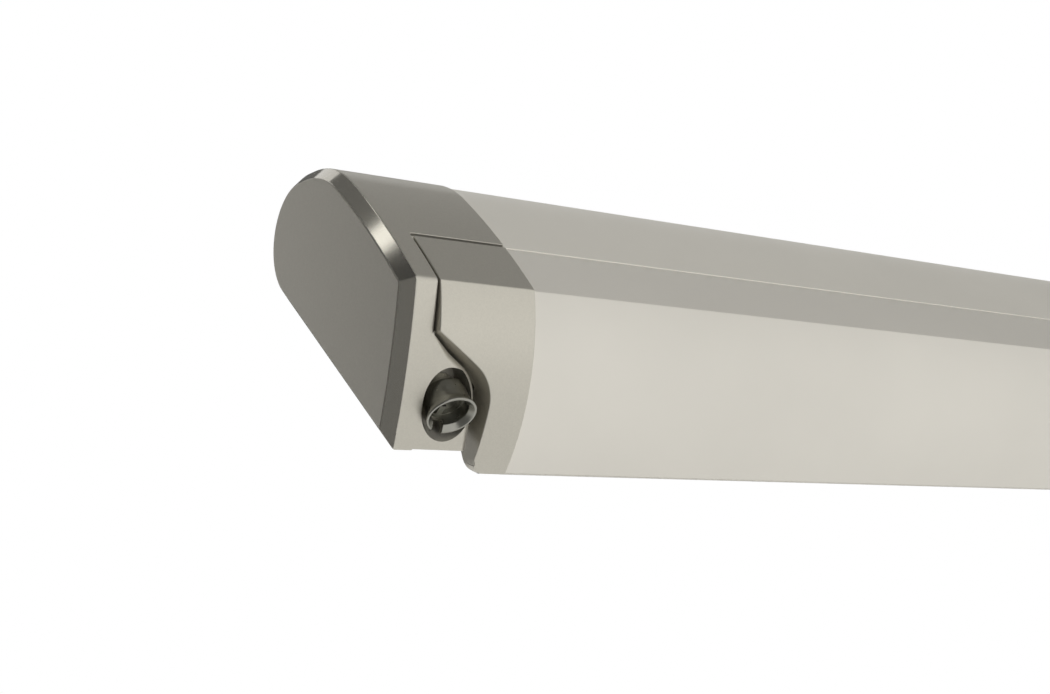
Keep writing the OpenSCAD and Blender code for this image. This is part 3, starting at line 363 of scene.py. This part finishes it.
def coated_cloth(name, colour):
    """PVC coated polyester awning cloth: dull, in a plain weave, with stitched hems along its sides."""
    material, tree = new_material(name)
    base = linear(colour)
    flat = add_node(tree, "ShaderNodeTexCoord").outputs["UV"]
    # threads of 1 mm, drawn 4.8 mm apart so that they show: a wave of scale 1 is 314 mm long
    across = add_node(tree, "ShaderNodeTexWave", {"Vector": flat, "Scale": 65.0}, bands_direction="X")
    along = add_node(tree, "ShaderNodeTexWave", {"Vector": flat, "Scale": 65.0}, bands_direction="Y")
    weave = add_node(tree, "ShaderNodeMath", {0: across.outputs["Fac"], 1: along.outputs["Fac"]},
                     operation="MULTIPLY")
    tone = add_node(tree, "ShaderNodeValToRGB", {"Fac": weave.outputs["Value"]},
                    ramp=((0, shade(base, 0.9)), (1, shade(base, 1.04))))
    # both rows of stitches lie equally far from the line between them
    near, far = STITCH_ROWS
    spot = add_node(tree, "ShaderNodeSeparateXYZ", {"Vector": flat})
    inward = add_node(tree, "ShaderNodeMath", {0: spot.outputs["X"], 1: CLOTH_WIDTH / 2},
                      operation="PINGPONG")
    aside = add_node(tree, "ShaderNodeMath", {0: inward.outputs["Value"], 1: (near + far) / 2},
                     operation="SUBTRACT")
    row = add_node(tree, "ShaderNodeMath", {0: aside.outputs["Value"]}, operation="ABSOLUTE")
    thread = add_node(tree, "ShaderNodeMath",
                      {0: row.outputs["Value"], 1: (far - near) / 2, 2: STITCH_WIDTH / 2},
                      operation="COMPARE")
    pitch = add_node(tree, "ShaderNodeMath", {0: spot.outputs["Y"], 1: STITCH_PITCH}, operation="MODULO")
    dash = add_node(tree, "ShaderNodeMath", {0: pitch.outputs["Value"], 1: STITCH_LENGTH},
                    operation="LESS_THAN")
    stitch = add_node(tree, "ShaderNodeMath", {0: thread.outputs["Value"], 1: dash.outputs["Value"]},
                      operation="MULTIPLY")
    sewn = add_node(tree, "ShaderNodeMixRGB", {
        "Fac": stitch.outputs["Value"], "Color1": tone.outputs["Color"], "Color2": linear("#7E7D79")})
    bump = add_node(tree, "ShaderNodeBump",
                    {"Height": weave.outputs["Value"], "Strength": 0.2, "Distance": 0.3 * MM})
    surface(tree, {"Base Color": sewn.outputs["Color"], "Roughness": 0.6, "Normal": bump.outputs["Normal"]})
    return material


FINISHES = {}


def finish_of(slot):
    """The material of a slot of the record, made once."""
    colours, _ = settings()
    if not FINISHES:
        # painted light: the case's coat is lighter than the rail's so that the case top shows brighter
        FINISHES["case_paint"] = powder_coat("case_powder_coat_lightened_as_painted_light", colours.case)
        FINISHES["rail_paint"] = powder_coat("cream_powder_coat", colours.rail)
        FINISHES["cap_paint"] = metallic_enamel("champagne_metallic_enamel", colours.cap)
        FINISHES["cap_chamfer"] = metallic_enamel("buffed_metallic_enamel", colours.cap, 0.08, 0.11)
        FINISHES["nickel"] = nickel_plate("satin_nickel_plate")
        FINISHES["cast_aluminium"] = cast_aluminium("blasted_die_cast_aluminium")
        FINISHES["bare_aluminium"] = anodised_tube("clear_anodised_aluminium")
        FINISHES["steel"] = zinc_steel("zinc_plated_steel")
        FINISHES["dark_plastic"] = glass_filled_nylon("dark_glass_filled_nylon")
        FINISHES["brass"] = turned_brass("turned_brass")
        FINISHES["rubber"] = black_rubber("extruded_rubber")
        FINISHES["fabric"] = coated_cloth("coated_awning_cloth", colours.cloth)
    return FINISHES[slot]


def paint(piece, slot):
    """Give a piece the finish of a slot."""
    piece.data.materials.clear()
    piece.data.materials.append(finish_of(slot))


def only(piece):
    """Select one object and make it active."""
    bpy.ops.object.select_all(action="DESELECT")
    piece.select_set(True)
    bpy.context.view_layer.objects.active = piece


def apply_modifiers(piece):
    only(piece)
    for modifier in list(piece.modifiers):
        bpy.ops.object.modifier_apply(modifier=modifier.name)


def add_object(name, data):
    """A new object of a mesh, a camera or a lamp, at the origin."""
    added = bpy.data.objects.new(name, data)
    bpy.context.scene.collection.objects.link(added)
    return added


def merged_copy(node):
    """A copy of a CAD node with its facets welded and its flat faces joined, ready for modelling."""
    piece = add_object(node + "_dressed", NODES[node].data.copy())
    only(piece)
    bpy.ops.mesh.customdata_custom_splitnormals_clear()
    bpy.ops.object.mode_set(mode="EDIT")
    bpy.ops.mesh.select_all(action="SELECT")
    bpy.ops.mesh.remove_doubles(threshold=2e-6)
    bpy.ops.mesh.dissolve_limited(angle_limit=math.radians(0.3))
    bpy.ops.object.mode_set(mode="OBJECT")
    return piece


def round_edges(piece, width, radius_at, segments=3):
    """Round each sharp edge of a piece by the radius that radius_at gives for its middle and its two normals.

    No radius is over the width.
    """
    mesh = piece.data
    shape = bmesh.new()
    shape.from_mesh(mesh)
    layers = shape.edges.layers.float
    weight = layers.get("bevel_weight_edge") or layers.new("bevel_weight_edge")
    for edge in shape.edges:
        if len(edge.link_faces) == 2 and edge.calc_face_angle() > math.radians(26):
            middle = (edge.verts[0].co + edge.verts[1].co) / 2
            edge[weight] = radius_at(middle, [face.normal for face in edge.link_faces]) / width
    shape.to_mesh(mesh)
    shape.free()
    bevel = piece.modifiers.new("edges", "BEVEL")
    bevel.width = width
    bevel.segments = segments
    bevel.limit_method = "WEIGHT"
    bevel.use_clamp_overlap = False
    bevel.miter_outer = "MITER_ARC"
    flat = piece.modifiers.new("faces", "WEIGHTED_NORMAL")
    flat.keep_sharp = True
    only(piece)
    bpy.ops.object.shade_smooth_by_angle(angle=math.radians(38))
    apply_modifiers(piece)


def stand_in(piece, node):
    """Let a finished piece ride on its node's body, take its finish and stand for it."""
    paint(piece, SLOT_OF[node])
    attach(piece, BODY_OF[node])
    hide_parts(node)


def dressed(node, radius):
    """Stand in for a CAD node with a copy whose sharp edges are all rounded alike."""
    piece = merged_copy(node)
    round_edges(piece, radius, lambda middle, normals: radius, segments=2)
    stand_in(piece, node)


def background_rays(tree):
    """A socket that is 1 for the rays that look at the background: the camera's, and those off metal and
    through glass."""
    path = add_node(tree, "ShaderNodeLightPath").outputs
    mirror = add_node(tree, "ShaderNodeMath", {0: path["Is Camera Ray"], 1: path["Is Glossy Ray"]},
                      operation="MAXIMUM")
    clear = add_node(tree, "ShaderNodeMath", {0: mirror.outputs["Value"], 1: path["Is Transmission Ray"]},
                     operation="MAXIMUM")
    return clear.outputs["Value"]


class AWNING_OT_stage(bpy.types.Operator):
    """Floor, background, cards, lamps and the camera"""

    bl_idname = "awning.stage"
    bl_label = "Stage"

    def execute(self, context):
        colours, sizes = settings()
        scene = context.scene
        scene.view_settings.view_transform = "Standard"
        world = bpy.data.worlds.new("white_studio")
        scene.world = world
        world.use_nodes = True
        tree = world.node_tree
        tree.nodes.clear()
        dim = add_node(tree, "ShaderNodeBackground", {"Color": linear("#FDFEFF"), "Strength": AMBIENT})
        white = add_node(tree, "ShaderNodeBackground", {"Color": linear(WHITE), "Strength": 1.0})
        mix = add_node(tree, "ShaderNodeMixShader", {
            "Fac": background_rays(tree), 1: dim.outputs["Background"], 2: white.outputs["Background"]})
        add_node(tree, "ShaderNodeOutputWorld", {"Surface": mix.outputs["Shader"]})

        bpy.ops.object.select_all(action="DESELECT")
        bpy.ops.mesh.primitive_circle_add(
            vertices=96, radius=FLOOR_RADIUS, fill_type="NGON", location=(0, 0, -sizes.floor_drop))
        floor = context.active_object
        floor.name = "studio_floor"
        bpy.ops.object.transform_apply(location=True, rotation=True, scale=True)
        material, tree = new_material("pale_floor")
        # the floor runs out to white, so that no horizon shows
        place = add_node(tree, "ShaderNodeTexCoord").outputs["Object"]
        reach = add_node(tree, "ShaderNodeVectorMath", {0: place}, operation="LENGTH")
        fade = add_node(tree, "ShaderNodeMapRange", {
            "Value": reach.outputs["Value"], "From Min": FLOOR_FADE[0], "From Max": FLOOR_FADE[1],
            "To Min": FLOOR_LIFT[0], "To Max": FLOOR_LIFT[1]})
        lift = add_node(tree, "ShaderNodeMath", {0: background_rays(tree), 1: fade.outputs["Result"]},
                        operation="MULTIPLY")
        surface(tree, {"Base Color": linear(colours.floor), "Specular IOR Level": 0,
                       "Emission Color": linear(WHITE), "Emission Strength": lift.outputs["Value"]})
        floor.data.materials.append(material)
        floor.visible_shadow = False

        # grey cards round the case, which only its reflections see
        for name, size, place, turn, level in CARDS:
            bpy.ops.object.select_all(action="DESELECT")
            bpy.ops.mesh.primitive_plane_add(size=1, location=place, rotation=[math.radians(a) for a in turn])
            card = context.active_object
            card.name = name
            card.scale = (*size, 1)
            bpy.ops.object.transform_apply(location=True, rotation=True, scale=True)
            material, tree = new_material(name + "_paper")
            surface(tree, {"Base Color": linear(BLACK), "Specular IOR Level": 0,
                           "Emission Color": linear("#FFFFFD"), "Emission Strength": level})
            card.data.materials.append(material)
            card.visible_camera = False
            card.visible_shadow = False
            card.visible_diffuse = False

        camera = bpy.data.cameras.new("camera")
        camera.lens = LENS_MM
        camera.sensor_width = SENSOR_MM
        camera.clip_start = 0.01
        eye = add_object("camera", camera)
        eye.location = EYE
        eye.rotation_euler = (math.radians(90 + LOOK_UP), 0, -math.radians(LOOK_RIGHT))
        scene.camera = eye

        # far, broad lamps, which light the case and the rolled out rail alike and don't show in reflections
        for name, place, spread, strength in LAMPS:
            light = bpy.data.lights.new(name, "SUN")
            light.angle = math.radians(spread)
            light.energy = strength
            lamp = add_object(name, light)
            lamp.visible_glossy = False
            lamp.location = place
            lamp.rotation_euler = (-Vector(place)).to_track_quat("-Z", "Y").to_euler()
        return {"FINISHED"}


def cap_edge(middle, normals):
    """Edge radii of the left end cap: a sharp pocket, crisp rims, a soft nose and a soft seam edge."""
    x, y, z = middle.x * 1000 + SECTION_X, middle.y * 1000 + SECTION_Y, middle.z * 1000 + SECTION_Z
    pocket = Vector((x - POCKET[0], y - POCKET[1], z - POCKET[2]))
    if (pocket - pocket.dot(CRANK_AXIS) * CRANK_AXIS).length < POCKET_REACH:
        return 0.0
    if x > SEAT_X:
        return SEAT_EDGE
    outside = any(n.y < -0.6 or n.x < -0.6 or abs(n.z) > 0.95 for n in normals)
    if not outside:
        return 0.0
    front, rising = any(n.y < -0.85 for n in normals), any(n.z > 0.3 for n in normals)
    if front and rising and z > NOSE_Z:
        return NOSE_EDGE
    if x > ROLLED_X and z < ROLLED_Z:
        return 0.0
    return SEAM_EDGE if x > SEAM_X and SEAM_LOW < z < SEAM_HIGH else RIM_EDGE


def right_cap_edge(middle, normals):
    """Edge radii of the right end cap, the mirror of the left one."""
    return cap_edge(middle * MIRROR, [normal * MIRROR for normal in normals])


def roll_opening_edge(piece, side):
    """Roll a cap's front face over into its opening, from the knee down, with a swept cutter."""
    path = [(KNEE[0] + SLANT[0] * i / 10, KNEE[1] + SLANT[1] * i / 10, *SLANT_OUT) for i in range(10)]
    for i in range(15):
        turn = math.radians(BEND_TURN * (1 - i / 14))
        out = (math.cos(turn), math.sin(turn))
        path.append((BEND[0] + BEND_RADIUS * out[0], BEND[1] + BEND_RADIUS * out[1], *out))
    path += [(UPRIGHT_X, z, 1.0, 0.0) for z in UPRIGHT_HEIGHTS]
    points, run = [], 0.0
    for i, (x, z, out_x, out_z) in enumerate(path):
        run += math.dist((x, z), path[max(i - 1, 0)][:2])
        radius = ROLL_START + ROLL_GROWTH * min(1.0, run / ROLL_RUN)
        arc = [(radius * (1 - math.sin(math.radians(a))), radius * (1 - math.cos(math.radians(a))))
               for a in range(10, 81, 10)]
        outline = [(arc[0][0], -CUTTER_REACH), *arc, (-CUTTER_REACH, arc[-1][1]),
                   (-CUTTER_REACH, -CUTTER_REACH)]
        for inward, depth in outline:
            high = z - inward * out_z
            across = x - inward * out_x - SECTION_X
            front_y = FRONT_LEAN * high + FRONT_CURVE * high * high
            points.append((across * side * MM, (front_y + depth - SECTION_Y) * MM, (high - SECTION_Z) * MM))
    ring = len(points) // len(path)
    faces = [(a * ring + b, a * ring + (b + 1) % ring, (a + 1) * ring + (b + 1) % ring, (a + 1) * ring + b)
             for a in range(len(path) - 1) for b in range(ring)]
    faces += [tuple(range(ring)), tuple(range(len(points) - ring, len(points)))]
    mesh = bpy.data.meshes.new("edge_cutter")
    mesh.from_pydata(points, [], faces)
    cutter = add_object("edge_cutter", mesh)
    only(cutter)
    bpy.ops.object.mode_set(mode="EDIT")
    bpy.ops.mesh.select_all(action="SELECT")
    bpy.ops.mesh.normals_make_consistent(inside=False)
    bpy.ops.object.mode_set(mode="OBJECT")
    cut = piece.modifiers.new("rolled_edge", "BOOLEAN")
    cut.operation = "DIFFERENCE"
    cut.solver = "EXACT"
    cut.object = cutter
    apply_modifiers(piece)
    bpy.data.objects.remove(cutter)


class AWNING_OT_case(bpy.types.Operator):
    """Case profile with its lip seal, the two end caps and what they hold"""

    bl_idname = "awning.case"
    bl_label = "Case and end caps"

    def execute(self, context):
        _, sizes = settings()
        dressed("case_profile", sizes.profile_edge)
        for side, edge, way in (("left", cap_edge, 1), ("right", right_cap_edge, -1)):
            piece = merged_copy(side + "_end_cap")
            roll_opening_edge(piece, way)
            round_edges(piece, WIDEST_EDGE, edge, segments=6)
            stand_in(piece, side + "_end_cap")
            piece.data.materials.append(finish_of("cap_chamfer"))
            for face in piece.data.polygons:
                slope = abs(face.normal.x)
                if CHAMFER_SLOPES[0] < slope < CHAMFER_SLOPES[1] and abs(face.center.x) > CHAMFER_X:
                    face.material_index = 1
        for node in ("left_end_bracket", "right_end_bracket",
                     "left_shoulder_bracket", "right_shoulder_bracket"):
            dressed(node, sizes.bracket_edge)
        for node in ("case_seal", "end_bracket_screws", "shoulder_pins", "bracket_set_screws"):
            dressed(node, sizes.small_edge)
        return {"FINISHED"}


class AWNING_OT_lead(bpy.types.Operator):
    """Lead rail, its caps and the wrist brackets"""

    bl_idname = "awning.lead"
    bl_label = "Lead rail"

    def execute(self, context):
        _, sizes = settings()
        dressed("lead_rail", sizes.profile_edge)
        for side in ("left", "right"):
            dressed(side + "_lead_cap", sizes.lead_cap_edge)
            dressed(side + "_wrist_bracket", sizes.bracket_edge)
        for node in ("wrist_pins", "keder_rod"):
            dressed(node, sizes.small_edge)
        return {"FINISHED"}


def bell_edge(middle, normals):
    """Edge radii of the crank bell: a rounded mouth, and sharp steps inside."""
    depth = (middle - BELL_MOUTH).dot(CRANK_AXIS)
    return BELL_LIP if depth < BELL_LIP_DEPTH else 0.0


class AWNING_OT_drive(bpy.types.Operator):
    """Crank bell, worm drive, gearbox and roller"""

    bl_idname = "awning.drive"
    bl_label = "Crank and roller"

    def execute(self, context):
        _, sizes = settings()
        bell = merged_copy("crank_bell")
        round_edges(bell, BELL_LIP, bell_edge)
        stand_in(bell, "crank_bell")
        bell.data.materials[0] = finish_of("nickel")
        for node in ("worm_shaft", "worm_wheel", "gearbox_base", "gearbox_lid", "gearbox_screws",
                     "roller_bushes", "roller_tube", "roller_drive_plug", "roller_idler_plug"):
            dressed(node, sizes.drive_edge)
        return {"FINISHED"}


class AWNING_OT_arms(bpy.types.Operator):
    """Folding arms with their castings, pins and springs"""

    bl_idname = "awning.arms"
    bl_label = "Arms"

    def execute(self, context):
        _, sizes = settings()
        for side in ("left", "right"):
            for part in ("upper_arm", "shoulder_knuckle", "elbow_fork",
                         "forearm", "elbow_tongue", "wrist_knuckle"):
                dressed(f"{side}_{part}", sizes.arm_edge)
            for part in ("elbow_pin", "arm_spring"):
                dressed(f"{side}_{part}", sizes.small_edge)
        return {"FINISHED"}


class AWNING_OT_legs(bpy.types.Operator):
    """Telescopic legs with their hinges, collars and feet"""

    bl_idname = "awning.legs"
    bl_label = "Legs"

    def execute(self, context):
        _, sizes = settings()
        for node in ("leg_hinge_brackets", "leg_pins"):
            dressed(node, sizes.small_edge)
        for side in ("left", "right"):
            for part in ("leg_tube", "leg_knuckle", "leg_collar", "leg_inner", "leg_foot"):
                dressed(f"{side}_{part}", sizes.leg_edge)
        return {"FINISHED"}


def cloth_strip(name, columns, rows, thickness, hem=0):
    """A strip of cloth through rows of y, z and flat length, with a UV map in metres of the flat cloth.

    Its outer columns, hem of them on each side, are of double cloth.
    """
    points = [(x, y, z) for y, z, _ in rows for x in columns]
    wide = len(columns)
    faces = [(r * wide + c, r * wide + c + 1, (r + 1) * wide + c + 1, (r + 1) * wide + c)
             for r in range(len(rows) - 1) for c in range(wide - 1)]
    mesh = bpy.data.meshes.new(name)
    mesh.from_pydata(points, [], faces)
    piece = add_object(name, mesh)
    layer = mesh.uv_layers.new(name="flat_cloth")
    for loop in mesh.loops:
        row, column = divmod(loop.vertex_index, wide)
        layer.data[loop.index].uv = (columns[column] - columns[0], rows[row][2])
    wall = piece.modifiers.new("cloth", "SOLIDIFY")
    wall.thickness = thickness
    wall.offset = 0
    if hem:
        double = piece.vertex_groups.new(name="double")
        edge_columns = [i for i in range(len(points)) if min(i % wide, wide - 1 - i % wide) < hem]
        double.add(edge_columns, 1.0, "REPLACE")
        wall.vertex_group = double.name
        wall.thickness = 2 * thickness
        wall.thickness_vertex_group = 0.5
    apply_modifiers(piece)
    bpy.ops.object.shade_smooth_by_angle(angle=math.radians(40))
    paint(piece, "fabric")
    return piece


def even_places(start, end, steps):
    """Places from start to end in even steps."""
    return [start + (end - start) * i / steps for i in range(steps + 1)]


class AWNING_OT_cloth(bpy.types.Operator):
    """Cloth wound on the roller and its free stretch to the lead rail"""

    bl_idname = "awning.cloth"
    bl_label = "Cloth"

    def execute(self, context):
        low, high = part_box("fabric_roll")
        tube_low, tube_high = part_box("roller_tube")
        axis_y, axis_z = (low.y + high.y) / 2, (low.z + high.z) / 2
        inner = (tube_high.y - tube_low.y) / 2 + ROLL_CLEARANCE
        outer = (high.y - low.y) / 2 - ROLL_CLEARANCE
        turns, steps_per_turn = (outer - inner) / WRAP_PITCH, 40
        steps = round(turns * steps_per_turn)
        rows, length, last = [], 0.0, None
        for i in range(steps + 1):
            share = i / steps
            angle = -math.pi / 2 + 2 * math.pi * turns * (1 - share)
            radius = inner + (outer - inner) * share
            point = Vector((axis_y + radius * math.cos(angle), axis_z + radius * math.sin(angle)))
            length += (point - last).length if last else 0.0
            last = point
            rows.append((point.x, point.y, length))
        roll = cloth_strip("wound_cloth", even_places(low.x, high.x, 12), rows, WOUND_THICKNESS)
        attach(roll, "roller")
        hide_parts("fabric_roll")

        low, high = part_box("fabric_sheet")
        z = (low.z + high.z) / 2
        run = next(joint["range_m"][1] for joint in BEHAVIOUR["joints"] if joint["name"] == "fabric_pull")
        rows = []
        for share in even_places(0, 1, 72):
            # place along the shut cloth whose share of the pull is even
            t = 0.5 - math.sin(math.asin(1 - 2 * share) / 3)
            rows.append((high.y + (low.y - high.y) * t, z, (high.y - low.y) * t + run * share))
        middle = even_places(low.x + HEM + HEM_STEP, high.x - HEM - HEM_STEP, 12)
        columns = [low.x, low.x + HEM, *middle, high.x - HEM, high.x]
        stretch = cloth_strip("free_cloth", columns, rows, FREE_THICKNESS, hem=2)
        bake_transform(stretch, "cassette", "fabric_front", start=(0, high.y, z), end=(0, low.y, z))
        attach(stretch, "cassette")
        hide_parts("fabric_sheet")
        return {"FINISHED"}


class AWNING_PT_sidebar(bpy.types.Panel):
    """The awning's operators, in the order in which they are run"""

    bl_label = "Roll out awning"
    bl_space_type = "VIEW_3D"
    bl_region_type = "UI"
    bl_category = "Awning"

    def draw(self, context):
        for operator in OPERATORS:
            self.layout.operator(operator.bl_idname)


OPERATORS = (AWNING_OT_stage, AWNING_OT_case, AWNING_OT_lead, AWNING_OT_drive, AWNING_OT_arms, AWNING_OT_legs,
             AWNING_OT_cloth)
CLASSES = (AwningColours, AwningSizes, *OPERATORS, AWNING_PT_sidebar)


def register():
    for cls in CLASSES:
        bpy.utils.register_class(cls)
    bpy.types.Scene.awning_colours = bpy.props.PointerProperty(type=AwningColours)
    bpy.types.Scene.awning_sizes = bpy.props.PointerProperty(type=AwningSizes)


def unregister():
    del bpy.types.Scene.awning_sizes
    del bpy.types.Scene.awning_colours
    for cls in reversed(CLASSES):
        bpy.utils.unregister_class(cls)


def main():
    register()
    bpy.ops.awning.stage()
    bpy.ops.awning.case()
    bpy.ops.awning.lead()
    bpy.ops.awning.drive()
    bpy.ops.awning.arms()
    bpy.ops.awning.legs()
    bpy.ops.awning.cloth()


if __name__ == "__main__":
    main()
